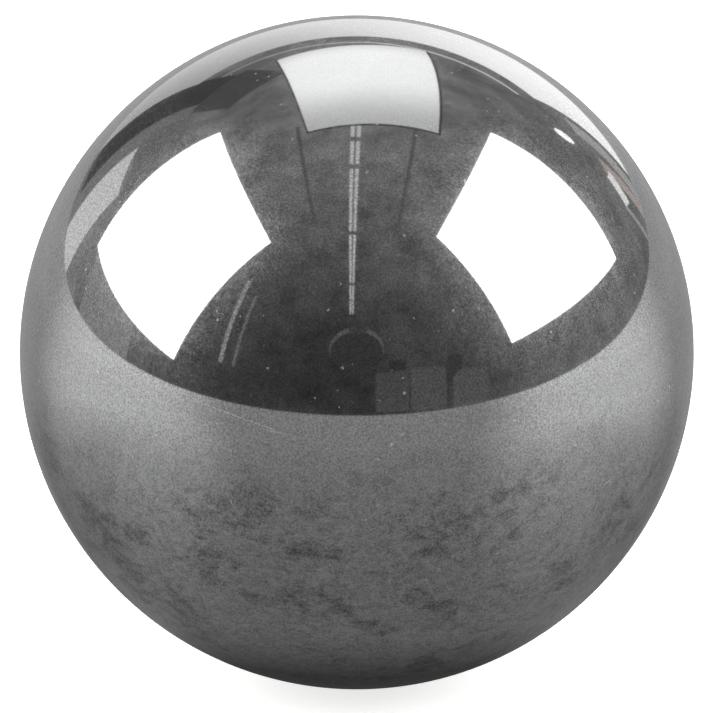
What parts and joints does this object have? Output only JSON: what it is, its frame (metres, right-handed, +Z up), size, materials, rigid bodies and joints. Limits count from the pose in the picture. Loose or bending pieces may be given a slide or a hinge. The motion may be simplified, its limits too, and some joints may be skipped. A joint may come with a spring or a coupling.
{
  "type": "steel ball",
  "caption": "Solid round ball of polished hardened steel, for rolling between races, seating in a cone or cup, or use as a round reference.",
  "frame": {"origin": "centre of the ball", "axes": "+Z up and +X to the right as the ball is looked at; the shape is the same about every axis"},
  "size_m": [0.0254, 0.0254, 0.0254],
  "materials": {
    "polished_steel": "polished"
  },
  "bodies": {
    "root": {"ball": "polished_steel"}
  },
  "joints": []
}
